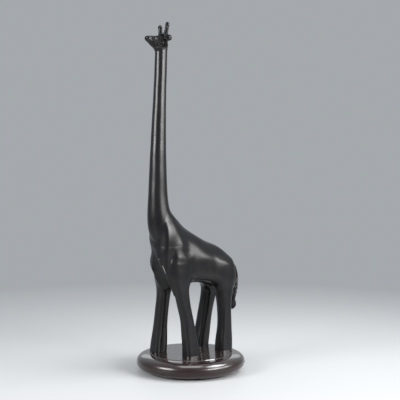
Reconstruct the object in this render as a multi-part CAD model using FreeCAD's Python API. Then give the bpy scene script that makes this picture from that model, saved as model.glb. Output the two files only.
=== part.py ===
"""Carved giraffe statue on a turned round base.

A stylised long-necked giraffe in ebonised hardwood. It faces -Y, and its left side is towards +X. The
carving is put together from separate blanks with glued dowels: a torso, four legs, a neck stick and a
head, with ears, horns, eyes and a tail let into drilled sockets. Four wood screws come up through the
turned base into the feet, and a felt disc is glued under the base to cover them.

Millimetres, +Z up. The origin is the centre of the felt's underside, where the statue stands. The figure's
own axis runs midway between its feet, and stands off the centre of the base by FIGURE_SET_BACK.
"""

import FreeCAD, Part
import math
import os

Vector = FreeCAD.Vector

# Base
BASE_RADIUS = 86.5
BASE_HEIGHT = 27.0
BASE_FLAT_RADIUS = 63.5
FELT_RADIUS = 62.0
FELT_THICKNESS = 1.5
BASE_TOP = FELT_THICKNESS + BASE_HEIGHT

# Rounded edge of the base from the step inwards to the underside: radius as a share of the base's, height likewise
BASE_EDGE = [
    (0.740, 0.976),
    (0.809, 0.966),
    (0.879, 0.935),
    (0.942, 0.848),
    (0.986, 0.693),
    (1.0, 0.485),
    (0.978, 0.270),
    (0.919, 0.115),
    (0.832, 0.030),
    (0.751, 0.0),
]
FIGURE_SET_BACK = Vector(-9.2, 7.7, 0)  # from the centre of the base to the figure's axis
BASE_CENTRE = -FIGURE_SET_BACK  # in the figure's own coordinates, which every function below uses

# Joint planes of the carving
LEG_JOINT = 125.4
NECK_JOINT = 247.4
HEAD_JOINT = 502.0

# Dowels, pegs and screws
GLUE_GAP = 0.05
LEG_DOWEL_RADIUS, LEG_DOWEL_LENGTH = 4.0, 32.0
NECK_DOWEL_RADIUS, NECK_DOWEL_LENGTH = 7.0, 70.0
HEAD_DOWEL_RADIUS, HEAD_DOWEL_LENGTH = 3.0, 22.0
SCREW_RADIUS, SCREW_HEAD_RADIUS, SCREW_LENGTH = 2.1, 4.2, 45.0
SCREW_HEAD_HEIGHT, SCREW_TIP_HEIGHT, SCREW_SLOT = 2.6, 6.0, 1.0
HORN_FOOT_RADIUS, HORN_RADIUS, HORN_KNOB_RADIUS = 3.7, 2.9, 3.2
HORN_PEG_RADIUS, HORN_PEG_LENGTH = 1.5, 6.0
EYE_RADIUS, EYE_PEG_RADIUS, EYE_PEG_LENGTH = 1.9, 0.8, 3.0
EAR_ROOT_RADIUS, EAR_PEG_RADIUS, EAR_PEG_LENGTH = 2.2, 1.2, 5.0
TAIL_PEG_RADIUS, TAIL_PEG_LENGTH = 2.0, 12.0

RING_POINTS = 16  # points round each carved section

# Torso sections across Y: y, underside z, ridge z, half width, how much the ridge narrows
TORSO = [
    (-73.0, 164.0, 194.0, 9.0, 0.0),
    (-69.5, 154.5, 213.0, 17.0, 0.0),
    (-60.0, 144.4, 232.0, 25.0, 0.1),
    (-42.0, 135.4, 240.4, 30.0, 0.3),
    (-20.0, 138.0, 230.4, 32.5, 0.35),
    (5.0, 138.8, 216.2, 33.0, 0.3),
    (28.0, 134.6, 204.6, 33.0, 0.27),
    (48.0, 130.4, 197.2, 32.2, 0.22),
    (64.0, 130.0, 187.0, 28.3, 0.12),
    (75.0, 133.4, 174.6, 20.0, 0.0),
    (81.5, 142.4, 162.0, 9.0, 0.0),
]

# Neck sections across Z: z, centre y, half width in x, half depth in y
NECK = [
    (202.4, -53.0, 17.0, 16.5),
    (222.4, -57.5, 19.7, 21.3),
    (239.4, -61.5, 19.0, 20.9),
    (256.4, -64.7, 17.1, 18.2),
    (275.4, -66.2, 15.3, 15.9),
    (303.4, -66.3, 13.9, 14.3),
    (334.4, -66.0, 12.8, 13.1),
    (365.4, -65.1, 11.8, 12.0),
    (397.4, -64.0, 10.9, 11.0),
    (428.4, -62.7, 10.2, 10.3),
    (467.4, -60.8, 9.6, 9.8),
    (512.0, -59.2, 9.3, 9.6),
]

# Leg sections across Z: z, centre x, centre y, half width in x, half depth in y
LEGS = {
    "front_right_leg": [
        (BASE_TOP, -30.0, -43.2, 11.7, 12.7),
        (43.3, -28.9, -42.4, 11.1, 12.3),
        (60.4, -27.2, -41.9, 10.3, 11.2),
        (81.4, -25.4, -41.1, 10.1, 10.7),
        (103.4, -23.5, -39.7, 10.1, 10.6),
        (LEG_JOINT, -20.9, -38.8, 10.5, 11.7),
        (147.4, -18.0, -39.0, 13.0, 15.0),
        (177.4, -15.0, -42.0, 14.0, 16.0),
    ],
    "front_left_leg": [
        (BASE_TOP, 26.7, -21.5, 11.9, 13.4),
        (43.3, 26.0, -22.5, 10.7, 12.2),
        (60.4, 25.0, -24.8, 10.0, 11.2),
        (81.4, 23.8, -27.2, 9.7, 10.7),
        (103.4, 22.3, -31.6, 9.6, 10.8),
        (LEG_JOINT, 21.0, -36.2, 10.4, 12.4),
        (147.4, 18.4, -40.0, 13.0, 16.0),
        (177.4, 15.0, -42.0, 14.0, 16.0),
    ],
    "hind_right_leg": [
        (BASE_TOP, -24.0, 39.0, 12.7, 13.9),
        (43.3, -23.2, 41.6, 11.8, 13.2),
        (60.4, -22.0, 44.8, 10.8, 12.1),
        (81.4, -20.8, 48.0, 10.9, 12.1),
        (103.4, -19.4, 52.2, 11.0, 12.7),
        (LEG_JOINT, -17.8, 56.0, 11.6, 15.2),
        (147.4, -16.5, 57.5, 13.5, 17.5),
        (169.4, -13.0, 55.0, 13.0, 15.0),
    ],
    "hind_left_leg": [
        (BASE_TOP, 26.7, 47.2, 12.1, 13.2),
        (43.3, 26.1, 48.4, 11.4, 12.8),
        (60.4, 25.4, 50.1, 10.4, 11.4),
        (81.4, 23.9, 51.6, 10.3, 11.3),
        (103.4, 22.0, 52.4, 10.6, 12.3),
        (LEG_JOINT, 19.6, 54.6, 12.2, 16.2),
        (147.4, 16.5, 58.0, 13.5, 17.5),
        (169.4, 13.0, 55.0, 13.0, 15.0),
    ],
}

# Head sections across Y: y, jaw z, crown z, half width
HEAD = [
    (-89.6, 519.9, 524.6, 3.6),
    (-87.1, 517.9, 525.8, 5.0),
    (-82.6, 514.9, 526.0, 5.6),
    (-76.8, 510.6, 526.2, 6.2),
    (-71.0, 507.2, 526.6, 7.4),
    (-65.2, 504.4, 527.6, 8.7),
    (-59.0, 502.9, 529.8, 9.2),
    (-53.0, 504.4, 529.6, 8.4),
    (-49.6, 510.4, 526.8, 5.0),
]
HEAD_DOWEL_Y = -60.0
HORN_FOOT = Vector(5.4, -55.6, 525.6)
HORN_TIP_LEFT = Vector(9.4, -53.5, 548.6)
HORN_TIP_RIGHT = Vector(-7.2, -55.9, 544.9)
EAR_ROOT = Vector(8.4, -58.2, 523.0)
EAR_TIP = Vector(17.0, -51.4, 525.0)
EYE_SPOT = Vector(4.9, -73.8, 521.6)

# Tail: centre y and z from the rump down to the tip, and radius there
TAIL = [
    (80.0, 163.6, 2.2),
    (87.0, 163.4, 2.2),
    (94.3, 159.0, 2.1),
    (98.6, 150.5, 2.1),
    (100.8, 138.5, 2.5),
    (96.8, 124.5, 4.8),
    (92.8, 111.0, 5.0),
    (91.8, 101.0, 4.6),
    (93.2, 94.0, 4.3),
    (91.0, 88.5, 2.5),
]


def ring(place, radius_u, radius_v, along_u, along_v, narrowing=0.0):
    """A closed smooth section, narrower by the given share on its +v side."""
    points = []
    for i in range(RING_POINTS):
        turn = 2 * math.pi * i / RING_POINTS
        width = radius_u * math.sin(turn) * (1 - narrowing * (1 + math.cos(turn)) / 2)
        points.append(place + along_u * width + along_v * (radius_v * math.cos(turn)))
    curve = Part.BSplineCurve()
    curve.interpolate(Points=points, PeriodicFlag=True)
    return Part.Wire([curve.toShape()])


def loft(rings):
    return Part.makeLoft(rings, True, False, False, 5)


def upright_loft(sections):
    """A loft through horizontal sections of (z, x, y, half width, half depth)."""
    rings = []
    for z, x, y, half_width, half_depth in sections:
        rings.append(ring(Vector(x, y, z), half_width, half_depth, Vector(1, 0, 0), Vector(0, 1, 0)))
    return loft(rings)


def lengthwise_loft(sections):
    """A loft through sections across Y of (y, low z, high z, half width, ridge narrowing)."""
    rings = []
    for y, low, high, half_width, narrowing in sections:
        place = Vector(0, y, (low + high) / 2)
        rings.append(ring(place, half_width, (high - low) / 2, Vector(1, 0, 0), Vector(0, 0, 1), narrowing))
    return loft(rings)


def slab(low, high):
    """A block that spans the whole figure between two heights."""
    span = 400.0
    return Part.makeBox(span, span, high - low, Vector(-span / 2, -span / 2, low))


def rod(foot, tip, radius):
    return Part.makeCylinder(radius, (tip - foot).Length, foot, tip - foot)


def turned(outline, place=Vector(), axis=Vector(0, 0, 1)):
    """A solid of revolution from (radius, height) points, stood on place along axis."""
    points = [Vector(radius, 0, height) for radius, height in outline]
    face = Part.Face(Part.makePolygon(points + points[:1]))
    solid = face.revolve(Vector(), Vector(0, 0, 1), 360)
    solid.Placement = FreeCAD.Placement(place, FreeCAD.Rotation(Vector(0, 0, 1), axis))
    return solid


def section_at(sections, z):
    return next(s for s in sections if s[0] == z)


def foot_centre(name):
    z, x, y = LEGS[name][0][:3]
    return Vector(x, y, z)


def leg_joint_centre(name):
    z, x, y = section_at(LEGS[name], LEG_JOINT)[:3]
    return Vector(x, y, z)


def screw_outline(gap=0.0):
    """Countersunk wood screw, head down at height 0, as (radius, height) points."""
    shank, head = SCREW_RADIUS + gap, SCREW_HEAD_RADIUS + gap
    return [
        (0, 0),
        (head, 0),
        (shank, SCREW_HEAD_HEIGHT),
        (shank, SCREW_LENGTH - SCREW_TIP_HEIGHT),
        (0, SCREW_LENGTH),
    ]


def screw_head_place(name):
    foot = foot_centre(name)
    return Vector(foot.x, foot.y, FELT_THICKNESS)


def base_screws():
    screws = []
    for name in LEGS:
        place = screw_head_place(name)
        corner = place - Vector(SCREW_HEAD_RADIUS, SCREW_SLOT / 2, 0)
        slot = Part.makeBox(2 * SCREW_HEAD_RADIUS, SCREW_SLOT, SCREW_SLOT, corner)
        screws.append(turned(screw_outline(), place).cut(slot))
    return screws


def screw_holes():
    return [turned(screw_outline(GLUE_GAP), screw_head_place(name)) for name in LEGS]


def felt_pad():
    return Part.makeCylinder(FELT_RADIUS, FELT_THICKNESS, BASE_CENTRE)


def base_plinth():
    """A turned disc with a flat top, a crisp arris on a small step, and a rounded edge."""
    edge = [Vector(BASE_RADIUS * reach, 0, FELT_THICKNESS + BASE_HEIGHT * rise) for reach, rise in BASE_EDGE]
    curve = Part.BSplineCurve()
    curve.interpolate(edge)
    corners = [
        edge[-1],
        Vector(0, 0, FELT_THICKNESS),
        Vector(0, 0, BASE_TOP),
        Vector(BASE_FLAT_RADIUS, 0, BASE_TOP),
        edge[0],
    ]
    profile = Part.Wire([curve.toShape()] + Part.makePolygon(corners).Edges)
    disc = Part.Face(profile).revolve(Vector(), Vector(0, 0, 1), 360)
    disc.translate(BASE_CENTRE)
    return disc.cut(Part.makeCompound(screw_holes()))


def leg_dowels(gap=0.0):
    dowels = []
    for name in LEGS:
        middle = leg_joint_centre(name)
        half = Vector(0, 0, LEG_DOWEL_LENGTH / 2 + gap)
        dowels.append(rod(middle - half, middle + half, LEG_DOWEL_RADIUS + gap))
    return dowels


def neck_dowel(gap=0.0):
    middle = Vector(0, -63.0, NECK_JOINT)
    half = Vector(0, 0, NECK_DOWEL_LENGTH / 2 + gap)
    return rod(middle - half, middle + half, NECK_DOWEL_RADIUS + gap)


def head_dowel(gap=0.0):
    middle = Vector(0, HEAD_DOWEL_Y, HEAD_JOINT)
    half = Vector(0, 0, HEAD_DOWEL_LENGTH / 2 + gap)
    return rod(middle - half, middle + half, HEAD_DOWEL_RADIUS + gap)


def leg(name):
    whole = upright_loft(LEGS[name])
    lower = whole.common(slab(BASE_TOP, LEG_JOINT))
    return lower.cut(Part.makeCompound(screw_holes() + leg_dowels(GLUE_GAP)))


def neck_between(low, high):
    whole = upright_loft([(z, 0, y, rx, ry) for z, y, rx, ry in NECK])
    return whole.common(slab(low, high))


def neck():
    upper = neck_between(NECK_JOINT, HEAD_JOINT)
    return upper.cut(Part.makeCompound([neck_dowel(GLUE_GAP), head_dowel(GLUE_GAP)]))


def torso():
    barrel = lengthwise_loft(TORSO)
    haunches = [upright_loft(sections[-3:]) for sections in LEGS.values()]
    withers = neck_between(NECK[0][0], NECK_JOINT)
    whole = barrel.fuse(haunches + [withers]).common(slab(LEG_JOINT, NECK_JOINT))
    sockets = leg_dowels(GLUE_GAP) + [neck_dowel(GLUE_GAP), tail_peg(GLUE_GAP), tail_seat()]
    return whole.cut(Part.makeCompound(sockets))


def horn_tip(side):
    return HORN_TIP_LEFT if side > 0 else HORN_TIP_RIGHT


def mirrored(point, side):
    return Vector(point.x * side, point.y, point.z)


def horn_peg(side, gap=0.0):
    foot = mirrored(HORN_FOOT, side)
    along = (horn_tip(side) - foot).normalize()
    return rod(foot - along * (HORN_PEG_LENGTH + gap), foot + along, HORN_PEG_RADIUS + gap)


def horn(side):
    foot = mirrored(HORN_FOOT, side)
    length = (horn_tip(side) - foot).Length
    outline = [(0, 0), (HORN_FOOT_RADIUS, 0), (HORN_RADIUS, length * 0.3), (HORN_RADIUS, length * 0.7)]
    knob_low = length - 2 * HORN_KNOB_RADIUS
    for step in range(7):
        turn = math.radians(-30 + 20 * step)
        outline.append(
            (
                HORN_KNOB_RADIUS * math.cos(turn),
                knob_low + HORN_KNOB_RADIUS + HORN_KNOB_RADIUS * math.sin(turn),
            )
        )
    outline[-1] = (0, length)
    return turned(outline, foot, horn_tip(side) - foot).fuse(horn_peg(side))


def ear_peg(side, gap=0.0):
    root = mirrored(EAR_ROOT, side)
    along = (mirrored(EAR_TIP, side) - root).normalize()
    return rod(root - along * (EAR_PEG_LENGTH - 1 + gap), root + along * 2, EAR_PEG_RADIUS + gap)


def ear(side):
    """A leaf that swells from its root and closes at its tip."""
    root, tip = mirrored(EAR_ROOT, side), mirrored(EAR_TIP, side)
    along = (tip - root).normalize()
    across = along.cross(Vector(0, 1, 0)).normalize() * -side
    through = along.cross(across).normalize()
    length = (tip - root).Length
    rings = []
    for share, half_height, half_thickness in [
        (0.0, EAR_ROOT_RADIUS, 1.6),
        (0.25, 3.9, 1.8),
        (0.5, 4.7, 1.7),
        (0.75, 4.1, 1.4),
        (0.93, 2.2, 0.9),
        (1.0, 0.7, 0.3),
    ]:
        rings.append(ring(root + along * (length * share), half_height, half_thickness, across, through))
    return loft(rings).fuse(ear_peg(side))


def eye_peg(side, gap=0.0):
    spot = mirrored(EYE_SPOT, side)
    return rod(spot - Vector(side * (EYE_PEG_LENGTH + gap), 0, 0), spot, EYE_PEG_RADIUS + gap)


def eye(side, gap=0.0):
    """A bead on a peg, let into the side of the head."""
    bead = Part.makeSphere(EYE_RADIUS + gap, mirrored(EYE_SPOT, side))
    return bead.fuse(eye_peg(side, gap))


def head():
    whole = lengthwise_loft([(y, low, high, w, 0.0) for y, low, high, w in HEAD])
    upper = whole.fuse(neck_between(HEAD_JOINT, NECK[-1][0]))
    sockets = [head_dowel(GLUE_GAP)]
    for side in (1, -1):
        foot = mirrored(HORN_FOOT, side)
        along = (horn_tip(side) - foot).normalize()
        horn_seat = rod(foot, foot + along * 8, HORN_FOOT_RADIUS + GLUE_GAP)
        root = mirrored(EAR_ROOT, side)
        ear_way = (mirrored(EAR_TIP, side) - root).normalize()
        ear_seat = rod(root, root + ear_way * 6, EAR_ROOT_RADIUS + GLUE_GAP)
        sockets += [horn_seat, horn_peg(side, GLUE_GAP)]
        sockets += [ear_seat, ear_peg(side, GLUE_GAP), eye(side, GLUE_GAP)]
    return upper.cut(Part.makeCompound(sockets))


def tail_peg(gap=0.0):
    root = Vector(0, TAIL[0][0], TAIL[0][1])
    return rod(root - Vector(0, TAIL_PEG_LENGTH + gap, 0), root, TAIL_PEG_RADIUS + gap)


def tail_seat():
    """The hollow in the rump that the foot of the tail sits in."""
    y, z, radius = TAIL[0]
    root = Vector(0, y, z)
    return rod(root, root + Vector(0, 12, 0), radius + GLUE_GAP)


def tail():
    """A thin stem that leaves the rump and hangs in a thicker tuft, with its peg."""
    rings = []
    for i, (y, z, radius) in enumerate(TAIL):
        before, after = TAIL[max(i - 1, 0)], TAIL[min(i + 1, len(TAIL) - 1)]
        along = Vector(0, after[0] - before[0], after[1] - before[1]).normalize()
        across = Vector(1, 0, 0)
        rings.append(ring(Vector(0, y, z), radius, radius, across, along.cross(across)))
    return loft(rings).fuse(tail_peg())


def write(name, *solids):
    """Writes one node, as one solid or as a group of separate solids, measured from the base's centre."""
    found = [s for shape in solids for s in shape.Solids]
    shape = found[0] if len(found) == 1 else Part.makeCompound(found)
    shape.translate(FIGURE_SET_BACK)
    shape.exportStep(os.path.join("parts", name + ".step"))
    print(f"{name}: {len(found)} solid(s), {shape.Volume / 1000:.2f} cm3, valid {shape.isValid()}")


def main():
    os.makedirs("parts", exist_ok=True)
    write("felt_pad", felt_pad())
    write("base_plinth", base_plinth())
    write("base_screws", *base_screws())
    for name in LEGS:
        write(name, leg(name))
    write("leg_dowels", *leg_dowels())
    write("torso", torso())
    write("neck_dowel", neck_dowel())
    write("neck", neck())
    write("head_dowel", head_dowel())
    write("head", head())
    for side, word in ((1, "left"), (-1, "right")):
        write(word + "_horn", horn(side))
        write(word + "_ear", ear(side))
        write(word + "_eye", eye(side))
    write("tail", tail())


main()
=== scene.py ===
import math

import bmesh
import bpy
import numpy as np
import openvdb
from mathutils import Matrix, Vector


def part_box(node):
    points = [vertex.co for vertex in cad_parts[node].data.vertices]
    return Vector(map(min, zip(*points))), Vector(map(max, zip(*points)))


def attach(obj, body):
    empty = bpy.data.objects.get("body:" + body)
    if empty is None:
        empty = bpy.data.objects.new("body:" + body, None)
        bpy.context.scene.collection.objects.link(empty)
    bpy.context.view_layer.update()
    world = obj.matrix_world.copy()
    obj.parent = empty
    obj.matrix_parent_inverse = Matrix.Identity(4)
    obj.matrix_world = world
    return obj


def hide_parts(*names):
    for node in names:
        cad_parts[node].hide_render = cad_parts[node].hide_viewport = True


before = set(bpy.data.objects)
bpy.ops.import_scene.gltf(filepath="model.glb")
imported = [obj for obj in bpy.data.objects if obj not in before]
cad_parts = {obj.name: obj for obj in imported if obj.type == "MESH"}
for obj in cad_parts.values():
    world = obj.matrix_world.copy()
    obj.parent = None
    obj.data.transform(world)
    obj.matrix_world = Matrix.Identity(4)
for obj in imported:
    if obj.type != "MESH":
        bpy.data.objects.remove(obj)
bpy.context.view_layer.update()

# A carved giraffe on a turned base. The carving is sculpted as one distance field in millimetres, in the
# figure's own coordinates: it faces -y, its left side is +x, and z is up from the felt's underside. The field
# is cut at the joint planes of the CAD parts, so that each blank is its own closed piece and the skin runs on
# across the joints.

MM = 0.001
FIGURE_SET_BACK = np.array([-9.2, 7.7, 0.0])  # from the centre of the base to the figure's axis

BASE_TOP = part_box("base_plinth")[1].z / MM
LEG_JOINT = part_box("torso")[0].z / MM
NECK_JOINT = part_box("neck")[0].z / MM
HEAD_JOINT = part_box("neck")[1].z / MM

# Camera: how far the lens stands from the base's axis, how high, how long it is and where it looks
VIEW_AZIMUTH_DEG = 50.0
CAMERA_DISTANCE = 1.450
CAMERA_HEIGHT = 0.3473
CAMERA_PITCH_DEG = 2.963
CAMERA_YAW_DEG = 0.59
LENS_MM = 82.2
SENSOR_MM = 36.0

# Studio: the wall's grey, the floor's colour round the base, the distances between which the floor fades
# into the wall, half the floor's width, and the point that the lamps face
WALL_GREY = (0.376, 0.397, 0.418)
FLOOR_COLOUR = (0.45, 0.458, 0.466)
FLOOR_FADE_START, FLOOR_FADE_END = 0.2, 1.0
FLOOR_HALF_WIDTH = 12.0
LAMP_TARGET = Vector((0, 0, 0.25))

# Softboxes: name, azimuth from the camera's, elevation, distance, width, height, watts
SOFTBOXES = [
    ("right_softbox", 51, 15.5, 1.45, 0.78, 0.34, 23),
    ("side_softbox", 79, 14.5, 1.45, 0.6, 0.34, 8.5),
    ("left_softbox", -55, 16.5, 1.45, 0.7, 0.42, 23.5),
    ("high_softbox", 84, 50, 1.4, 0.8, 0.6, 15),
    ("top_softbox", 0, 80, 1.6, 0.9, 0.9, 6),
    ("far_softbox", 180, 18.5, 10, 7, 2.0, 27),
]

# ---------------------------------------------------------------------------- tables of the carving

# Torso sections across y: y, underside z, ridge z, half width, how much the ridge narrows
TORSO = [
    (-73.0, 164.0, 194.0, 9.0, 0.0),
    (-69.5, 154.5, 213.0, 17.0, 0.0),
    (-60.0, 144.4, 232.0, 25.0, 0.1),
    (-42.0, 135.4, 240.4, 30.0, 0.3),
    (-20.0, 138.0, 230.4, 32.0, 0.31),
    (5.0, 138.8, 216.2, 33.0, 0.3),
    (28.0, 134.6, 204.6, 33.0, 0.27),
    (48.0, 130.4, 197.2, 32.2, 0.22),
    (64.0, 130.0, 187.0, 28.3, 0.12),
    (75.0, 133.4, 174.6, 20.0, 0.0),
    (81.5, 142.4, 162.0, 9.0, 0.0),
]

# Neck sections across z: z, centre x, centre y, half width, half depth
NECK = [
    (202.4, 0.0, -53.0, 17.0, 16.5),
    (222.4, 0.0, -57.5, 19.7, 21.3),
    (239.4, 0.0, -61.5, 19.0, 20.9),
    (256.4, 0.0, -64.7, 17.1, 18.2),
    (275.4, 0.0, -66.2, 15.3, 15.9),
    (303.4, 0.0, -66.3, 13.9, 14.3),
    (334.4, 0.0, -66.0, 12.8, 13.1),
    (365.4, 0.0, -65.1, 11.8, 12.0),
    (397.4, 0.0, -64.0, 10.9, 11.0),
    (428.4, 0.0, -62.7, 10.2, 10.3),
    (467.4, 0.0, -60.8, 9.6, 9.8),
    (512.0, 0.0, -59.2, 9.3, 9.6),
]

# Leg sections across z: z, centre x, centre y, half width, half depth
LEGS = {
    "front_right_leg": [
        (28.5, -30.0, -43.2, 11.4, 12.4),
        (43.3, -28.9, -42.4, 10.9, 12.1),
        (60.4, -27.2, -41.9, 10.3, 11.2),
        (81.4, -25.4, -41.1, 10.1, 10.7),
        (103.4, -23.5, -39.7, 10.1, 10.6),
        (125.4, -20.9, -38.8, 10.5, 11.7),
        (147.4, -18.0, -39.0, 13.0, 15.0),
        (177.4, -15.0, -42.0, 14.0, 16.0),
    ],
    "front_left_leg": [
        (28.5, 26.7, -21.5, 11.6, 13.1),
        (43.3, 26.0, -22.5, 10.5, 12.0),
        (60.4, 25.0, -24.8, 10.0, 11.2),
        (81.4, 23.8, -27.2, 9.7, 10.7),
        (103.4, 22.3, -31.6, 9.6, 10.8),
        (125.4, 21.0, -36.2, 10.4, 12.4),
        (147.4, 18.4, -40.0, 13.0, 16.0),
        (177.4, 15.0, -42.0, 14.0, 16.0),
    ],
    "hind_right_leg": [
        (28.5, -24.0, 39.0, 12.4, 13.6),
        (43.3, -23.2, 41.6, 11.6, 13.0),
        (60.4, -22.0, 44.8, 10.8, 12.1),
        (81.4, -20.8, 48.0, 10.9, 12.1),
        (103.4, -19.4, 52.2, 11.0, 12.7),
        (125.4, -17.8, 56.0, 11.6, 15.2),
        (147.4, -16.5, 57.5, 13.5, 17.5),
        (169.4, -13.0, 55.0, 13.0, 15.0),
    ],
    "hind_left_leg": [
        (28.5, 26.7, 47.2, 11.8, 12.9),
        (43.3, 26.1, 48.4, 11.2, 12.6),
        (60.4, 25.4, 50.1, 10.4, 11.4),
        (81.4, 23.9, 51.6, 10.3, 11.3),
        (103.4, 22.0, 52.4, 10.6, 12.3),
        (125.4, 19.6, 54.6, 12.2, 16.2),
        (147.4, 16.5, 58.0, 13.5, 17.5),
        (169.4, 13.0, 55.0, 13.0, 15.0),
    ],
}

# Arches carved between the legs, across y: y, underside z, crown z, half width, narrowing
FRONT_ARCH = [
    (-100.0, 60.0, 194.0, 20.0, 0.2),
    (-76.0, 60.0, 189.0, 22.0, 0.2),
    (-64.0, 60.0, 174.0, 23.5, 0.2),
    (-50.0, 60.0, 153.0, 19.0, 0.2),
    (-40.0, 60.0, 146.0, 12.5, 0.2),
    (-30.0, 60.0, 141.0, 9.8, 0.2),
    (-5.0, 60.0, 136.0, 8.0, 0.2),
]
FRONT_ARCH_SIDE = 3.2  # how far the front arch lies to the left
HIND_ARCH = [
    (15.0, 60.0, 134.0, 7.0, 0.2),
    (40.0, 60.0, 140.0, 9.0, 0.2),
    (62.0, 60.0, 146.0, 9.5, 0.2),
    (85.0, 60.0, 150.0, 9.5, 0.2),
    (105.0, 60.0, 152.0, 9.5, 0.2),
]

# Head sections across y: y, jaw z, crown z, half width, narrowing towards the crown
HEAD = [
    (-89.6, 519.9, 524.6, 3.6, 0.0),
    (-87.1, 517.9, 525.8, 5.0, 0.0),
    (-82.6, 514.9, 526.0, 5.6, 0.0),
    (-76.8, 510.6, 526.2, 6.2, 0.1),
    (-71.0, 507.2, 526.6, 7.4, 0.2),
    (-65.2, 504.4, 527.6, 8.7, 0.2),
    (-59.0, 502.9, 529.8, 9.2, 0.2),
    (-53.0, 504.4, 529.6, 8.4, 0.1),
    (-49.6, 510.4, 526.8, 5.0, 0.0),
]

# Rounded swells of the head, alike on both sides: brow, cheek, crown, and the collar round the horn's foot.
# Each row is centre, radii and fillet.
HEAD_SWELLS = [
    ((3.9, -73.8, 522.2), (2.2, 4.8, 3.3), 2.0),
    ((4.6, -64.5, 512.5), (4.4, 5.8, 7.5), 3.0),
    ((0.0, -57.5, 527.5), (4.2, 5.5, 3.6), 2.0),
    ((5.6, -55.3, 527.6), (4.4, 4.4, 5.4), 1.5),
]
NOSTRIL = (3.9, -87.2, 522.6)
NOSTRIL_REACH = (1.1, 1.3, 0.9)
MOUTH_FRONT, MOUTH_BACK, MOUTH_RADIUS = (3.4, -90.1, 521.0), (7.6, -72.4, 511.0), 0.55
JAW_TOP, JAW_FOOT, JAW_RADIUS = (9.4, -61.8, 521.0), (9.2, -61.2, 513.0), 0.8
CURL_DEPTH = 0.7

# Dowels, horns, ears, eyes and tail, as in the CAD
NECK_DOWEL_Y, NECK_DOWEL_RADIUS, NECK_SOCKET_DEPTH = -63, 7.0, 35
HEAD_DOWEL_Y, HEAD_DOWEL_RADIUS, HEAD_SOCKET_DEPTH = -60, 3.0, 11
LEG_DOWEL_RADIUS, LEG_SOCKET_DEPTH = 4.0, 16
HORN_FOOT = {1: (5.4, -55.6, 525.6), -1: (-5.4, -55.6, 525.6)}
HORN_TIP = {1: (9.4, -53.5, 548.6), -1: (-7.2, -55.9, 544.9)}
HORN_FOOT_RADIUS, HORN_RADIUS, HORN_KNOB_RADIUS = 3.7, 2.9, 3.2
HORN_PEG_RADIUS, HORN_PEG_LENGTH = 1.5, 6.0
EAR_ROOT = {1: (8.4, -58.2, 523.0), -1: (-8.4, -58.2, 523.0)}
EAR_TIP = {1: (17.0, -51.4, 525.0), -1: (-17.0, -51.4, 525.0)}
EAR_PEG_RADIUS, EAR_PEG_LENGTH = 1.2, 4.0
EYE_SPOT = (4.9, -73.8, 521.6)
EYE_RADIUS, EYE_PEG_RADIUS, EYE_PEG_LENGTH = 1.9, 0.8, 3.0
TAIL_PEG_RADIUS, TAIL_PEG_LENGTH = 2.0, 12.0
GLUE_GAP = 0.05

# Ear sections along its length: share of the length, half height, half thickness
EAR = [
    (0.0, 2.2, 1.5),
    (0.25, 3.9, 1.7),
    (0.5, 4.7, 1.6),
    (0.75, 4.2, 1.3),
    (0.93, 2.4, 0.9),
    (1.0, 1.0, 0.5),
]

# Tail from the rump down to its tip: number of the place, centre y, centre z, radius
TAIL = [
    (0, 80.0, 163.6, 2.2),
    (1, 87.0, 163.4, 2.2),
    (2, 94.3, 159.0, 2.1),
    (3, 98.6, 150.5, 2.1),
    (4, 100.8, 138.5, 2.5),
    (5, 96.8, 124.5, 4.8),
    (6, 92.8, 111.0, 5.0),
    (7, 91.8, 101.0, 4.6),
    (8, 93.2, 94.0, 4.3),
    (9, 91.0, 88.5, 2.5),
]
TAIL_ROOT = np.array((0, TAIL[0][1], TAIL[0][2]))
TAIL_SEAT_LENGTH = 12  # how far the cut that seats the tail's root runs out of the rump
TAIL_PLACES = 37  # along its smooth line

# Strokes of the gouge: centre x, y, z, reach in x, y, z, and depth, which is negative where it left a swell
STROKES = [
    (-15.0, -77.0, 195.0, 20.0, 16.0, 12.0, 8.2),
    (-13.0, -70.0, 156.0, 18.0, 14.0, 9.0, 4.2),
    (23.0, -57.0, 180.0, 6.0, 7.0, 24.0, 2.2),
    (-23.0, -57.0, 180.0, 6.0, 7.0, 24.0, 2.2),
    (13.0, -72.0, 192.0, 8.0, 9.0, 15.0, -1.4),
    (27.0, -40.0, 202.0, 10.0, 9.0, 12.0, -2.0),
    (30.0, -44.0, 187.0, 9.0, 14.0, 9.0, -1.3),
    (-27.0, -40.0, 198.0, 10.0, 11.0, 14.0, -2.4),
    (29.0, 10.0, 180.0, 10.0, 20.0, 11.0, -1.0),
    (-29.0, 10.0, 180.0, 10.0, 20.0, 11.0, -1.0),
    (31.0, 43.0, 165.0, 8.0, 13.0, 10.0, -0.6),
]

# Raised edge that the gouge left along the left foreleg, up to the chest: x, y, z and radius
RAISED_EDGE = [
    (8.2, -72.6, 184.0, 0.7),
    (14.9, -70.3, 172.0, 1.6),
    (18.4, -67.0, 160.0, 1.9),
    (19.6, -60.9, 148.0, 1.9),
    (19.3, -54.1, 136.0, 1.5),
    (17.8, -48.2, 124.0, 0.7),
]

# ------------------------------------------------------------------------------------ field helpers


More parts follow.
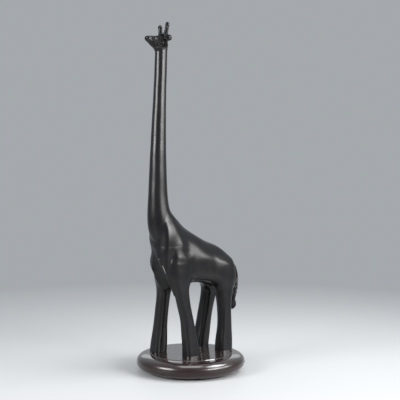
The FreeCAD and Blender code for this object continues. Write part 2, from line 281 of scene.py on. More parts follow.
def smooth_table(rows, at):
    """The columns of a table of sections, at any positions, on natural cubic splines."""
    rows = np.array(rows, float)
    knots, values = rows[:, 0], rows[:, 1:]
    gap = np.diff(knots)[:, None]
    slope = np.diff(values, axis=0) / gap
    count = len(knots)
    system = np.eye(count)
    right = np.zeros_like(values)
    for i in range(1, count - 1):
        system[i, i - 1] = gap[i - 1, 0] / 6
        system[i, i] = (gap[i - 1, 0] + gap[i, 0]) / 3
        system[i, i + 1] = gap[i, 0] / 6
        right[i] = slope[i] - slope[i - 1]
    bend = np.linalg.solve(system, right)
    at = np.clip(at, knots[0], knots[-1])
    i = np.clip(np.searchsorted(knots, at) - 1, 0, count - 2)
    width = gap[i, 0]
    b = (at - knots[i]) / width
    a = 1 - b
    columns = []
    for k in range(values.shape[1]):
        line = a * values[i, k] + b * values[i + 1, k]
        curve = ((a**3 - a) * bend[i, k] + (b**3 - b) * bend[i + 1, k]) * width**2 / 6
        columns.append(line + curve)
    return columns


def smooth_min(a, b, blend):
    """The union of two fields, with a fillet of about that width."""
    share = np.clip(0.5 + 0.5 * (b - a) / blend, 0, 1)
    return b + (a - b) * share - blend * share * (1 - share)


def smooth_max(a, b, blend):
    """What two fields share, with its edge rounded over about that width."""
    return -smooth_min(-a, -b, blend)


def section_distance(u, v, half_u, half_v, squareness):
    """Distance to a section in its own plane. Squareness 2 is an ellipse, and more has flatter sides."""
    a, b = np.abs(u / half_u), np.abs(v / half_v)
    size = (a**squareness + b**squareness) ** (1 / squareness) + 1e-6
    slope_u = (a / size) ** (squareness - 1) / half_u
    slope_v = (b / size) ** (squareness - 1) / half_v
    return (size - 1) / np.sqrt(slope_u**2 + slope_v**2 + 1e-9)


def upright(x, y, z, sections, squareness=2.0):
    """A limb through horizontal sections of (z, x, y, half width, half depth)."""
    centre_x, centre_y, half_x, half_y = smooth_table(sections, z)
    return section_distance(x - centre_x, y - centre_y, half_x, half_y, squareness)


def lengthwise(x, y, z, sections, squareness=2.0):
    """A form through sections across y of (y, low z, high z, half width, narrowing towards the top)."""
    low, high, half_width, narrowing = smooth_table(sections, y)
    middle, half_height = (low + high) / 2, (high - low) / 2
    rise = np.clip((z - middle) / half_height, -1, 1)
    half_width = half_width * (1 - narrowing * (1 + rise) / 2)
    return section_distance(x, z - middle, half_width, half_height, squareness)


def ellipsoid(x, y, z, centre, radii):
    """Distance to an ellipsoid, true enough near its surface."""
    a, b, c = ((p - q) / r for p, q, r in zip((x, y, z), centre, radii))
    size = np.sqrt(a**2 + b**2 + c**2) + 1e-6
    slope = np.sqrt((a / radii[0]) ** 2 + (b / radii[1]) ** 2 + (c / radii[2]) ** 2) / size + 1e-6
    return (size - 1) / slope


def rod(x, y, z, foot, tip, radius):
    """Distance to a round rod with flat ends."""
    foot, tip = np.array(foot, float), np.array(tip, float)
    length = np.linalg.norm(tip - foot)
    way = (tip - foot) / length
    dx, dy, dz = x - foot[0], y - foot[1], z - foot[2]
    along = dx * way[0] + dy * way[1] + dz * way[2]
    off = np.sqrt(np.maximum(dx**2 + dy**2 + dz**2 - along**2, 0))
    return np.maximum(off - radius, np.abs(along - length / 2) - length / 2)


def chain(x, y, z, places, radii):
    """Distance to a round strand through the places, whose radius changes evenly between them."""
    places = np.array(places, float)
    nearest = np.inf
    for foot, tip, first, last in zip(places[:-1], places[1:], radii[:-1], radii[1:]):
        way = tip - foot
        dx, dy, dz = x - foot[0], y - foot[1], z - foot[2]
        share = np.clip((dx * way[0] + dy * way[1] + dz * way[2]) / (way @ way), 0, 1)
        off = (dx - share * way[0]) ** 2 + (dy - share * way[1]) ** 2 + (dz - share * way[2]) ** 2
        nearest = np.minimum(nearest, np.sqrt(off) - first - (last - first) * share)
    return nearest


def swell(x, y, z, centre, reach):
    """A soft bump that is 1 at its centre."""
    a, b, c = ((p - q) / r for p, q, r in zip((x, y, z), centre, reach))
    return np.exp(-(a**2)) * np.exp(-(b**2)) * np.exp(-(c**2))


def fade(value, start, end):
    """0 up to the start and 1 from the end on."""
    share = np.clip((value - start) / (end - start), 0, 1)
    return share * share * (3 - 2 * share)


def along_line(x, y, z, foot, tip):
    """Distance along a line from its foot, and the unit vector of the line."""
    foot, tip = np.array(foot, float), np.array(tip, float)
    way = (tip - foot) / np.linalg.norm(tip - foot)
    return (x - foot[0]) * way[0] + (y - foot[1]) * way[1] + (z - foot[2]) * way[2], way


# -------------------------------------------------------------------------------- the figure's body

LEG_FILLET, NECK_FILLET, END_FILLET, ARRIS, EDGE_FILLET = 16.0, 26.0, 8.0, 1.4, 1.0
HAND_MARK = 0.16  # how far the knife's long flats wander from the true form

# Squareness of the sections, and what is added to it at the belly and at the feet
BACK_SQUARENESS, BELLY_EXTRA = 2.15, 0.6
LEG_SQUARENESS, FOOT_EXTRA = 2.3, 1.1
ARCH_SQUARENESS, HEAD_SQUARENESS = 2.2, 2.3


def knife_marks(x, y, z):
    """Long shallow flats left by the knife, which break up the highlights a little."""
    slow = np.sin(x / 5.1 + 1.3 * np.sin(z / 23.0)) * np.sin(z / 13.7 + y / 9.3)
    fast = np.sin(y / 4.3 + z / 17.0) * np.sin(x / 6.1 - z / 8.9 + 0.7)
    return HAND_MARK * (0.6 * slow + 0.4 * fast)


def leg_field(x, y, z, sections):
    """A leg, which grows squarer from 90 mm down to its foot at 35 mm."""
    squareness = LEG_SQUARENESS + FOOT_EXTRA * fade(-z, -90, -35)
    shaft = upright(x, y, z, sections, squareness)
    return smooth_max(shaft, z - sections[-1][0], END_FILLET)


def neck_field(x, y, z):
    return smooth_max(upright(x, y, z, NECK), NECK[0][0] - z, END_FILLET)


def torso_field(x, y, z):
    """The barrel, which grows squarer from 172 mm down to the belly at 150 mm."""
    barrel = lengthwise(x, y, z, TORSO, BACK_SQUARENESS + BELLY_EXTRA * fade(-z, -172, -150))
    barrel = smooth_max(barrel, TORSO[0][0] - y, END_FILLET)
    return smooth_max(barrel, y - TORSO[-1][0], END_FILLET)


def arch_field(x, y, z, sections):
    arch = lengthwise(x, y, z, sections, ARCH_SQUARENESS)
    arch = smooth_max(arch, sections[0][0] - y, END_FILLET)
    return smooth_max(arch, y - sections[-1][0], END_FILLET)


def dowel_socket(x, y, z, centre_x, centre_y, joint, depth, radius):
    """A hole drilled both ways from a joint plane, with room for the glue."""
    low, high = (centre_x, centre_y, joint - depth), (centre_x, centre_y, joint + depth)
    return rod(x, y, z, low, high, radius + GLUE_GAP)


def head_dowel_socket(x, y, z):
    return dowel_socket(x, y, z, 0, HEAD_DOWEL_Y, HEAD_JOINT, HEAD_SOCKET_DEPTH, HEAD_DOWEL_RADIUS)


def body_sockets(x, y, z):
    """The drilled sockets of the neck, head and leg dowels, and the tail's socket and seat."""
    holes = dowel_socket(x, y, z, 0, NECK_DOWEL_Y, NECK_JOINT, NECK_SOCKET_DEPTH, NECK_DOWEL_RADIUS)
    holes = np.minimum(holes, head_dowel_socket(x, y, z))
    deep, out = TAIL_ROOT - (0, TAIL_PEG_LENGTH, 0), TAIL_ROOT + (0, TAIL_SEAT_LENGTH, 0)
    holes = np.minimum(holes, rod(x, y, z, deep, TAIL_ROOT, TAIL_PEG_RADIUS + GLUE_GAP))
    holes = np.minimum(holes, rod(x, y, z, TAIL_ROOT, out, TAIL[0][3] + GLUE_GAP))
    for sections in LEGS.values():
        centre_x, centre_y = (float(c) for c in smooth_table(sections, LEG_JOINT)[:2])
        hole = dowel_socket(x, y, z, centre_x, centre_y, LEG_JOINT, LEG_SOCKET_DEPTH, LEG_DOWEL_RADIUS)
        holes = np.minimum(holes, hole)
    return holes


def body_field(x, y, z):
    """The whole carving from the feet to the top of the neck, without its head."""
    skin = torso_field(x, y, z)
    for sections in LEGS.values():
        skin = smooth_min(skin, leg_field(x, y, z, sections), LEG_FILLET)
    skin = smooth_min(skin, neck_field(x, y, z), NECK_FILLET)
    for arch, side in ((FRONT_ARCH, FRONT_ARCH_SIDE), (HIND_ARCH, 0)):
        skin = smooth_max(skin, -arch_field(x - side, y, z, arch), ARRIS)
    edge = np.array(RAISED_EDGE)
    skin = smooth_min(skin, chain(x, y, z, edge[:, :3], edge[:, 3]), EDGE_FILLET)
    for *place, depth in STROKES:
        skin = skin + depth * swell(x, y, z, place[:3], place[3:])
    return skin + knife_marks(x, y, z)


def drilled_body(x, y, z):
    return np.maximum(body_field(x, y, z), -body_sockets(x, y, z))


# ----------------------------------------------------------------------------------- fields to mesh


def slope_of(field, points, reach=0.05):
    """The field's slope at each point, by small steps each way."""
    slope = np.zeros_like(points)
    for axis in range(3):
        step = np.zeros(3)
        step[axis] = reach
        ahead, behind = points + step, points - step
        slope[:, axis] = (field(*ahead.T) - field(*behind.T)) / (2 * reach)
    return slope


def skin_of(field, low, high, step):
    """Points and quads where the field is zero in a box, found on a grid and drawn onto the true surface."""
    axes = [np.arange(a, b + step, step) for a, b in zip(low, high)]
    values = field(*np.meshgrid(*axes, indexing="ij", sparse=True))
    grid = openvdb.FloatGrid(3 * step)
    grid.copyFromArray(np.clip(values, -3 * step, 3 * step).astype(np.float32))
    points, quads = grid.convertToQuads()
    points = points.astype(float) * step + np.array(low)
    for _ in range(3):
        slope = slope_of(field, points)
        reach = field(*points.T) / np.maximum((slope**2).sum(1), 0.05)
        points -= slope * np.clip(reach, -step, step)[:, None]
    return points, quads


def carved_piece(name, field, low, high, step, cuts=()):
    """A closed mesh of the field in a box. A cut is (height, 1 or -1): what lies on that side of it goes."""
    points, quads = skin_of(field, low, high, step)
    mesh = bpy.data.meshes.new(name)
    mesh.from_pydata(points.tolist(), [], quads.tolist())
    work = bmesh.new()
    work.from_mesh(mesh)
    for height, side in cuts:
        done = bmesh.ops.bisect_plane(
            work,
            geom=work.verts[:] + work.edges[:] + work.faces[:],
            dist=1e-5,
            plane_co=(0, 0, height),
            plane_no=(0, 0, side),
            clear_outer=True,
        )
        rim = [e for e in done["geom_cut"] if isinstance(e, bmesh.types.BMEdge)]
        filled = bmesh.ops.triangle_fill(work, edges=rim, use_beauty=True, normal=(0, 0, side))
        for face in filled["geom"]:
            if isinstance(face, bmesh.types.BMFace):
                face.material_index = 1
                face.normal_update()
                if face.normal.z * side < 0:
                    face.normal_flip()
    work.to_mesh(mesh)
    work.free()
    return finished(name, mesh, field)


def finished(name, mesh, field):
    """Gives the skin the field's own normals, moves the mesh into the row frame and makes it an object."""
    count = len(mesh.vertices)
    points = np.zeros(count * 3)
    mesh.vertices.foreach_get("co", points)
    points = points.reshape(-1, 3)
    slope = slope_of(field, points)
    slope /= np.linalg.norm(slope, axis=1)[:, None] + 1e-9
    corner_point = np.zeros(len(mesh.loops), int)
    mesh.loops.foreach_get("vertex_index", corner_point)
    on_cap = np.zeros(len(mesh.polygons), int)
    mesh.polygons.foreach_get("material_index", on_cap)
    sides = np.zeros(len(mesh.polygons), int)
    mesh.polygons.foreach_get("loop_total", sides)
    normals = slope[corner_point]
    normals[np.repeat(on_cap, sides) == 1] = 0
    mesh.polygons.foreach_set("use_smooth", on_cap == 0)
    mesh.vertices.foreach_set("co", ((points + FIGURE_SET_BACK) * MM).ravel())
    mesh.normals_split_custom_set(normals.tolist())
    mesh.update()
    piece = bpy.data.objects.new(name, mesh)
    bpy.context.scene.collection.objects.link(piece)
    return piece


def placed(piece, node, slot_name, *materials):
    for material in materials:
        piece.data.materials.append(material)
    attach(piece, "root")
    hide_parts(node)
    return piece


# ---------------------------------------------------------------------------------------- materials

WAX_START, WAX_END = 0.018, 0.0275  # heights between which the wax on the base sets in


def new_material(name):
    material = bpy.data.materials.new(name)
    material.use_nodes = True
    return material, material.node_tree.nodes["Principled BSDF"]


def node(tree, kind, settings=None, **inputs):
    """Adds a node, sets its settings, and sets or links its inputs. An input goes by its name, with _ for a
    space, or by its number, as i0, i1 and so on."""
    made = tree.nodes.new("ShaderNode" + kind)
    for key, value in (settings or {}).items():
        setattr(made, key, value)
    for key, value in inputs.items():
        by_number = key[0] == "i" and key[1:].isdigit()
        socket = made.inputs[int(key[1:]) if by_number else key.replace("_", " ")]
        if isinstance(value, bpy.types.NodeSocket):
            tree.links.new(value, socket)
        else:
            socket.default_value = value
    return made


def ramp(tree, factor, *stops):
    """A colour ramp with stops of (position, colour)."""
    made = node(tree, "ValToRGB", i0=factor)
    elements = made.color_ramp.elements
    while len(elements) < len(stops):
        elements.new(0.5)
    for element, (place, colour) in zip(elements, stops):
        element.position = place
        element.color = (*colour, 1)
    return made.outputs["Color"]


def spread(tree, factor, low, high):
    """A factor between 0 and 1, turned into a value between two others."""
    return node(tree, "MapRange", i0=factor, i3=low, i4=high).outputs[0]


def smooth_share(tree, value, start, end):
    """0 up to the start and 1 from the end on, as nodes."""
    smooth = {"interpolation_type": "SMOOTHSTEP"}
    return node(tree, "MapRange", smooth, i0=value, i1=start, i2=end).outputs[0]


def ebonised_wood():
    material, shader = new_material("ebonised_wood")
    tree = material.node_tree
    place = node(tree, "TexCoord").outputs["Object"]
    along_grain = node(tree, "Mapping", Vector=place, Scale=(1.0, 1.0, 0.06)).outputs[0]
    pores = node(tree, "TexNoise", Vector=along_grain, Scale=1400.0, Detail=4.0, Roughness=0.6).outputs[0]
    bands = node(tree, "TexNoise", Vector=along_grain, Scale=160.0, Detail=3.0).outputs[0]
    clouds = node(tree, "TexNoise", Vector=place, Scale=38.0, Detail=3.0).outputs[0]
    grain = ramp(tree, pores, (0.35, (0.0020, 0.0020, 0.0024)), (0.65, (0.0065, 0.0062, 0.0068)))
    bloom = ramp(tree, bands, (0.4, (0.0, 0.0, 0.0)), (0.75, (0.0035, 0.0030, 0.0030)))
    colour = node(tree, "MixRGB", {"blend_type": "ADD"}, Fac=1.0, Color1=grain, Color2=bloom).outputs[0]
    tree.links.new(colour, shader.inputs["Base Color"])
    tree.links.new(spread(tree, clouds, 0.25, 0.33), shader.inputs["Roughness"])
    fine = node(tree, "Bump", Strength=0.12, Distance=0.00012, Height=pores).outputs[0]
    wave = node(tree, "Bump", Strength=0.25, Distance=0.0006, Height=clouds, Normal=fine).outputs[0]
    tree.links.new(wave, shader.inputs["Normal"])
    shader.inputs["IOR"].default_value = 1.36
    return material


def bare_wood():
    material, shader = new_material("bare_wood")
    tree = material.node_tree
    place = node(tree, "TexCoord").outputs["Object"]
    along_grain = node(tree, "Mapping", Vector=place, Scale=(1.0, 1.0, 0.05)).outputs[0]
    grain = node(tree, "TexNoise", Vector=along_grain, Scale=900.0, Detail=5.0).outputs[0]
    colour = ramp(tree, grain, (0.3, (0.42, 0.27, 0.15)), (0.7, (0.63, 0.44, 0.27)))
    tree.links.new(colour, shader.inputs["Base Color"])
    tree.links.new(spread(tree, grain, 0.55, 0.75), shader.inputs["Roughness"])
    bump = node(tree, "Bump", Strength=0.3, Distance=0.0002, Height=grain).outputs[0]
    tree.links.new(bump, shader.inputs["Normal"])
    return material


def base_varnish():
    """Dark red-brown varnish, waxed and polished on the base's top."""
    material, shader = new_material("base_varnish")
    tree = material.node_tree
    place = node(tree, "TexCoord").outputs["Object"]
    stretched = node(tree, "Mapping", Vector=place, Rotation=(0, 0, 0.6), Scale=(0.08, 1.0, 1.0))
    along_grain = stretched.outputs[0]
    lines = node(tree, "TexNoise", Vector=along_grain, Scale=420.0, Detail=6.0, Roughness=0.65).outputs[0]
    clouds = node(tree, "TexNoise", Vector=place, Scale=22.0, Detail=4.0).outputs[0]
    stops = [(0.3, (0.006, 0.0024, 0.0022)), (0.55, (0.015, 0.0056, 0.0052)), (0.75, (0.030, 0.011, 0.0095))]
    grain = ramp(tree, lines, *stops)
    shade = ramp(tree, clouds, (0.3, (0.5, 0.45, 0.45)), (0.7, (1.0, 1.0, 1.0)))
    colour = node(tree, "MixRGB", {"blend_type": "MULTIPLY"}, Fac=0.5, Color1=grain, Color2=shade).outputs[0]
    tree.links.new(colour, shader.inputs["Base Color"])
    height = node(tree, "SeparateXYZ", i0=place).outputs["Z"]
    waxed = smooth_share(tree, height, WAX_START, WAX_END)
    tree.links.new(spread(tree, clouds, 0.24, 0.36), shader.inputs["Roughness"])
    wave = node(tree, "Bump", Strength=0.05, Distance=0.0004, Height=clouds).outputs[0]
    tree.links.new(wave, shader.inputs["Normal"])
    shader.inputs["IOR"].default_value = 1.3
    shader.inputs["Coat Weight"].default_value = 1.0
    tree.links.new(spread(tree, waxed, 1.3, 2.3), shader.inputs["Coat IOR"])
    tree.links.new(spread(tree, waxed, 0.24, 0.07), shader.inputs["Coat Roughness"])
    tree.links.new(wave, shader.inputs["Coat Normal"])
    return material


def felt_cloth():
    material, shader = new_material("felt_cloth")
    tree = material.node_tree
    place = node(tree, "TexCoord").outputs["Object"]
    fibres = node(tree, "TexNoise", Vector=place, Scale=1500.0, Detail=6.0, Distortion=2.0).outputs[0]
    mottle = node(tree, "TexNoise", Vector=place, Scale=120.0, Detail=4.0).outputs[0]
    fibre_colour = ramp(tree, fibres, (0.3, (0.010, 0.011, 0.012)), (0.7, (0.05, 0.052, 0.055)))
    colour = node(tree, "MixRGB", {"blend_type": "MULTIPLY"}, Fac=0.4, Color1=fibre_colour, Color2=mottle)
    tree.links.new(colour.outputs[0], shader.inputs["Base Color"])
    shader.inputs["Roughness"].default_value = 0.95
    shader.inputs["Sheen Weight"].default_value = 0.4
    bump = node(tree, "Bump", Strength=0.6, Distance=0.0005, Height=fibres).outputs[0]
    tree.links.new(bump, shader.inputs["Normal"])
    return material


def zinc_steel():
    material, shader = new_material("zinc_steel")
    tree = material.node_tree
    place = node(tree, "TexCoord").outputs["Object"]
    round_it = node(tree, "Mapping", Vector=place, Scale=(1.0, 1.0, 8.0)).outputs[0]
    marks = node(tree, "TexNoise", Vector=round_it, Scale=700.0, Detail=4.0).outputs[0]
    colour = ramp(tree, marks, (0.3, (0.42, 0.42, 0.44)), (0.7, (0.62, 0.62, 0.6)))
    tree.links.new(colour, shader.inputs["Base Color"])
    shader.inputs["Metallic"].default_value = 1.0
    tree.links.new(spread(tree, marks, 0.25, 0.45), shader.inputs["Roughness"])
    return material


def eye_bead():
    material, shader = new_material("eye_bead")
    tree = material.node_tree
    place = node(tree, "TexCoord").outputs["Object"]
    flecks = node(tree, "TexNoise", Vector=place, Scale=900.0, Detail=3.0).outputs[0]
    colour = ramp(tree, flecks, (0.35, (0.004, 0.0035, 0.003)), (0.7, (0.02, 0.011, 0.007)))
    tree.links.new(colour, shader.inputs["Base Color"])
    tree.links.new(spread(tree, flecks, 0.08, 0.16), shader.inputs["Roughness"])
    shader.inputs["Coat Weight"].default_value = 1.0
    return material


EBONY, BARE, VARNISH = ebonised_wood(), bare_wood(), base_varnish()
FELT, STEEL, BEAD = felt_cloth(), zinc_steel(), eye_bead()

# --------------------------------------------------------------------------------------- the pieces

# Steps of the grids that find the skins, in millimetres
BODY_STEP = 0.82
HEAD_STEP = 0.35
FINE_STEP = 0.25
SPARE = 3.0  # millimetres of field kept past each cut
LEG_ROWS_BELOW_JOINT = 6  # of each leg's sections, the last of them in the joint's own plane


def carve(node_name, field, low, high, step, cuts=()):
    """Carves the piece that stands for a CAD node, in black wood that is bare where it is cut."""
    piece = carved_piece(node_name + "_carving", field, low, high, step, cuts)
    finish = (EBONY, BARE) if cuts else (EBONY,)
    placed(piece, node_name, "ebonised_wood", *finish)


def carve_torso():
    low = (-42, -84, LEG_JOINT - SPARE)
    high = (42, 92, NECK_JOINT + SPARE)
    cuts = [(LEG_JOINT, -1), (NECK_JOINT, 1)]
    carve("torso", drilled_body, low, high, BODY_STEP, cuts)


def carve_legs():
    for name, sections in LEGS.items():
        reach = np.array(sections[:LEG_ROWS_BELOW_JOINT])
        low = (*(reach[:, 1:3] - reach[:, 3:5]).min(0) - SPARE, BASE_TOP - SPARE)
        high = (*(reach[:, 1:3] + reach[:, 3:5]).max(0) + SPARE, LEG_JOINT + SPARE)
        cuts = [(BASE_TOP, -1), (LEG_JOINT, 1)]
        carve(name, drilled_body, low, high, BODY_STEP, cuts)


def carve_neck():
    low = (-24, -90, NECK_JOINT - SPARE)
    high = (24, -36, HEAD_JOINT + SPARE)
    cuts = [(NECK_JOINT, -1), (HEAD_JOINT, 1)]
    carve("neck", drilled_body, low, high, BODY_STEP, cuts)


def horn_field(x, y, z, side):
    """A knobbed rod with carved rings, and its peg."""
    foot, tip = np.array(HORN_FOOT[side]), np.array(HORN_TIP[side])
    along, way = along_line(x, y, z, foot, tip)
    knob = tip - way * HORN_KNOB_RADIUS
    radii = [HORN_FOOT_RADIUS, HORN_RADIUS * 1.25, HORN_RADIUS, HORN_RADIUS * 0.94]
    shaft = chain(x, y, z, [foot, foot + way * 6, foot + way * 13, knob], radii)
    shaft = smooth_min(shaft, ellipsoid(x, y, z, knob, (HORN_KNOB_RADIUS,) * 3), 1.2)
    turn = np.arctan2(y - foot[1] - along * way[1], x - foot[0] - along * way[0])
    shaft = shaft + 0.16 * np.sin(along * 1.9 + 0.8 * np.sin(turn)) + 0.12 * np.sin(4 * turn + along * 0.5)
    shaft = smooth_max(shaft, -along, 0.4)
    return np.minimum(shaft, rod(x, y, z, foot - way * HORN_PEG_LENGTH, foot + way, HORN_PEG_RADIUS))


def ear_field(x, y, z, side):
    """A leaf hollowed on its forward face, and its peg."""
    root, tip = np.array(EAR_ROOT[side]), np.array(EAR_TIP[side])
    length = np.linalg.norm(tip - root)
    along, way = along_line(x, y, z, root, tip)
    rise = np.array((0, 0, 1)) - way * way[2]
    rise /= np.linalg.norm(rise)
    front = np.cross(rise, way) * side
    dx, dy, dz = x - root[0], y - root[1], z - root[2]
    height = dx * rise[0] + dy * rise[1] + dz * rise[2]
    depth = dx * front[0] + dy * front[1] + dz * front[2]
    half_height, half_depth = smooth_table(EAR, along / length)
    leaf = section_distance(height, depth, half_height, half_depth, 2.0)
    leaf = smooth_max(leaf, along - length, 1.0)
    leaf = smooth_max(leaf, -along, 0.3)
    hollow = ellipsoid(along, height, depth, (length * 0.52, 0, -2.1), (length * 0.4, 3.6, 1.9))
    leaf = smooth_max(leaf, -hollow, 0.7)
    leaf = leaf + 0.08 * np.sin(height * 3.1 + along * 0.4)
    return np.minimum(leaf, rod(x, y, z, root - way * EAR_PEG_LENGTH, root + way * 2, EAR_PEG_RADIUS))


def eye_socket(across, y, z):
    """The hollow for the bead and the hole for its peg."""
    spot = np.array(EYE_SPOT)
    deep = spot - (EYE_PEG_LENGTH + GLUE_GAP, 0, 0)
    bead = ellipsoid(across, y, z, spot, (EYE_RADIUS + GLUE_GAP,) * 3)
    return np.minimum(bead, rod(across, y, z, deep, spot, EYE_PEG_RADIUS + GLUE_GAP))


def eyelids(across, y, z):
    """A raised oval ring round the eye."""
    ring = np.sqrt(((y - EYE_SPOT[1]) / 1.3) ** 2 + (z - EYE_SPOT[2]) ** 2)
    return np.sqrt((ring - 2.3) ** 2 + (across - EYE_SPOT[0] - 0.5) ** 2) - 0.75


def carved_curls(x, y, z):
    """Small cut curls over the cheeks and crown, clear of the muzzle and the eyes."""
    across = np.abs(x)
    low_wave = np.sin((y + 0.35 * z + 0.5 * across) * 1.85 + 1.1 * np.sin(z / 2.4))
    high_wave = np.sin((z - 0.3 * y) * 1.95 + 1.2 * np.sin(y / 2.1))
    where = fade(y, -84, -79) * fade(z, 506, 511)
    return CURL_DEPTH * where * low_wave * high_wave * (1 - swell(across, y, z, EYE_SPOT, (4.0, 3.6, 3.2)))


def head_field(x, y, z):
    """The carved head with the top of the neck, the mouth, the edge of the jaw and the eyes' sockets."""
    across = np.abs(x)
    head = lengthwise(x, y, z, HEAD, HEAD_SQUARENESS)
    head = smooth_max(head, HEAD[0][0] - y, 2.5)
    head = smooth_max(head, y - HEAD[-1][0], 3.0)
    throat = smooth_max(upright(x, y, z, NECK), z - NECK[-1][0], 4)
    head = smooth_min(head, throat, 4)
    for centre, radii, fillet in HEAD_SWELLS:
        head = smooth_min(head, ellipsoid(across, y, z, centre, radii), fillet)
    head = smooth_min(head, eyelids(across, y, z), 0.8)
    head = head + carved_curls(x, y, z) + swell(across, y, z, NOSTRIL, NOSTRIL_REACH)
    head = smooth_max(head, -rod(across, y, z, MOUTH_FRONT, MOUTH_BACK, MOUTH_RADIUS), 0.5)
    head = smooth_max(head, -rod(across, y, z, JAW_TOP, JAW_FOOT, JAW_RADIUS), 0.7)
    return np.maximum(head + knife_marks(x, y, z) * 0.4, -eye_socket(across, y, z))


def drilled_head(x, y, z):
    """The head with the sockets of its dowel, horns and ears."""
    head = np.maximum(head_field(x, y, z), -head_dowel_socket(x, y, z))
    for side in (1, -1):
        head = np.maximum(head, GLUE_GAP - horn_field(x, y, z, side))
        head = np.maximum(head, GLUE_GAP - ear_field(x, y, z, side))
    return head


def tail_field(x, y, z):
    """A thin stem that thickens into a twisted tuft of hair, and its peg."""
    centre_y, centre_z, radius = smooth_table(TAIL, np.linspace(0, TAIL[-1][0], TAIL_PLACES))
    places = np.stack([np.zeros_like(centre_y), centre_y, centre_z], axis=1)
    strand = chain(x, y, z, places, radius)
    strand = smooth_max(strand, TAIL[0][1] - y, 0.3)
    middle = np.interp(z, centre_z[::-1], centre_y[::-1])
    turn = np.arctan2(x, y - middle)
    locks = np.sin(3 * turn + z / 4.2)
    locks = locks + 0.45 * np.sin(9 * turn + z / 2.9) + 0.3 * np.sin(17 * turn - z / 3.7)
    strand = strand + 0.55 * fade(-z, -136, -126) * locks
    peg_foot, peg_end = TAIL_ROOT - (0, TAIL_PEG_LENGTH, 0), TAIL_ROOT + (0, 2, 0)
    return np.minimum(strand, rod(x, y, z, peg_foot, peg_end, TAIL_PEG_RADIUS))


def carve_head():
    low = (-14, -96, HEAD_JOINT - SPARE)
    high = (14, -44, HEAD_JOINT + 34)
    cuts = [(HEAD_JOINT, -1)]
    carve("head", drilled_head, low, high, HEAD_STEP, cuts)


def box_round(places, spare):
    places = np.array(places)
    return tuple(places.min(0) - spare), tuple(places.max(0) + spare)


def carve_small_pieces():
    for side, word in ((1, "left"), (-1, "right")):
        low, high = box_round([HORN_FOOT[side], HORN_TIP[side]], 7)
        carve(word + "_horn", lambda x, y, z: horn_field(x, y, z, side), low, high, FINE_STEP)
        low, high = box_round([EAR_ROOT[side], EAR_TIP[side]], 6)
        carve(word + "_ear", lambda x, y, z: ear_field(x, y, z, side), low, high, FINE_STEP)
    low, high = (-8, 65, 82), (8, 103, 170)
    carve("tail", tail_field, low, high, HEAD_STEP)


FELT_NAP = 0.00004  # metres that the felt's underside is uneven by


def lay_felt():
    """A disc of felt, glued under the base, with a slightly uneven face and a soft cut edge."""
    low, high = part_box("felt_pad")
    radius, thickness = (high.x - low.x) / 2, high.z
    rings, spokes = 24, 144
    random = np.random.default_rng(7)
    inner_edge, rim = radius - 0.0006, radius - 0.0001
    outline = [(inner_edge * (i + 1) / rings, 0.0) for i in range(rings)]
    outline += [(rim, 0.0004), (rim, thickness - 0.0002)]
    outline += [(inner_edge * (rings - i) / rings, thickness) for i in range(rings)]
    points = [(0, 0, 0.0)]
    for distance, height in outline:
        for k in range(spokes):
            turn = 2 * math.pi * k / spokes
            nap = FELT_NAP * random.random() if height == 0 else 0
            points.append((distance * math.cos(turn), distance * math.sin(turn), height + nap))
    points.append((0, 0, thickness))
    faces = [(0, 1 + (k + 1) % spokes, 1 + k) for k in range(spokes)]
    for row in range(len(outline) - 1):
        for k in range(spokes):
            a, b = 1 + row * spokes + k, 1 + row * spokes + (k + 1) % spokes
            faces.append((a, b, b + spokes, a + spokes))
    last = 1 + (len(outline) - 1) * spokes
    faces += [(last + k, last + (k + 1) % spokes, len(points) - 1) for k in range(spokes)]
    mesh = bpy.data.meshes.new("felt_disc")
    mesh.from_pydata(points, [], faces)
    mesh.polygons.foreach_set("use_smooth", [True] * len(faces))
    disc = bpy.data.objects.new("felt_disc", mesh)
    bpy.context.scene.collection.objects.link(disc)
    placed(disc, "felt_pad", "felt", FELT)


carve_torso()
carve_legs()
carve_neck()
carve_head()
carve_small_pieces()
lay_felt()

# The CAD nodes that stay as they are, and their finishes
CAD_FINISHES = {
    "base_plinth": VARNISH,
    "base_screws": STEEL,
    "left_eye": BEAD,
    "right_eye": BEAD,
    "leg_dowels": BARE,
    "neck_dowel": BARE,
    "head_dowel": BARE,
}
for node_name, finish in CAD_FINISHES.items():
    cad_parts[node_name].data.materials.clear()
    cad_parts[node_name].data.materials.append(finish)

# ------------------------------------------------------------------------------ floor, lights, view


def softbox(name, azimuth_deg, elevation_deg, distance, width, height, watts):
    """A soft lamp that faces the figure: azimuth 0 is in front of the figure and 90 at its left."""
    lamp = bpy.data.lights.new(name, "AREA")
    lamp.shape = "RECTANGLE"
    lamp.size, lamp.size_y = width, height
    lamp.energy = watts
    a, e = math.radians(azimuth_deg), math.radians(elevation_deg)
    way = Vector((math.sin(a) * math.cos(e), -math.cos(a) * math.cos(e), math.sin(e)))
    holder = bpy.data.objects.new(name, lamp)
    holder.location = LAMP_TARGET + way * distance
    holder.rotation_euler = (-way).to_track_quat("-Z", "Y").to_euler()
    bpy.context.scene.collection.objects.link(holder)


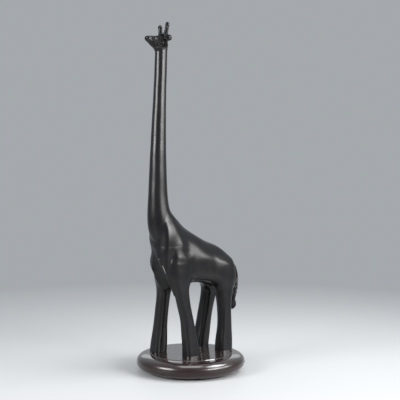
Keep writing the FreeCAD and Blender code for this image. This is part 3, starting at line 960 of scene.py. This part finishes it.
def pale_floor():
    """A pool of pale floor round the base, which dims outwards into the grey of the wall."""
    material, shader = new_material("pale_floor")
    tree = material.node_tree
    place = node(tree, "TexCoord").outputs["Object"]
    distance = node(tree, "VectorMath", {"operation": "LENGTH"}, Vector=place).outputs["Value"]
    share = smooth_share(tree, distance, FLOOR_FADE_START, FLOOR_FADE_END)
    colour = ramp(tree, share, (0.0, FLOOR_COLOUR), (1.0, (0, 0, 0)))
    tree.links.new(colour, shader.inputs["Base Color"])
    shader.inputs["Emission Color"].default_value = (*WALL_GREY, 1)
    tree.links.new(share, shader.inputs["Emission Strength"])
    tree.links.new(spread(tree, share, 0.5, 0.0), shader.inputs["Specular IOR Level"])
    shader.inputs["Roughness"].default_value = 0.5
    mesh = bpy.data.meshes.new("floor")
    far = FLOOR_HALF_WIDTH
    mesh.from_pydata([(-far, -far, 0), (far, -far, 0), (far, far, 0), (-far, far, 0)], [], [(0, 1, 2, 3)])
    mesh.materials.append(material)
    floor = bpy.data.objects.new("floor", mesh)
    bpy.context.scene.collection.objects.link(floor)


def stage_and_light():
    pale_floor()
    world = bpy.data.worlds.new("studio")
    world.use_nodes = True
    world.node_tree.nodes["Background"].inputs[0].default_value = (*WALL_GREY, 1)
    bpy.context.scene.world = world
    for name, azimuth_from_camera, *rest in SOFTBOXES:
        softbox(name, VIEW_AZIMUTH_DEG + azimuth_from_camera, *rest)
    bpy.context.scene.view_settings.view_transform = "Standard"


def camera():
    lens = bpy.data.cameras.new("camera")
    lens.lens = LENS_MM
    lens.sensor_width = SENSOR_MM
    holder = bpy.data.objects.new("camera", lens)
    a = math.radians(VIEW_AZIMUTH_DEG)
    holder.location = (CAMERA_DISTANCE * math.sin(a), -CAMERA_DISTANCE * math.cos(a), CAMERA_HEIGHT)
    holder.rotation_euler = (math.radians(90 - CAMERA_PITCH_DEG), 0, a - math.radians(CAMERA_YAW_DEG))
    bpy.context.scene.collection.objects.link(holder)
    bpy.context.scene.camera = holder


stage_and_light()
camera()
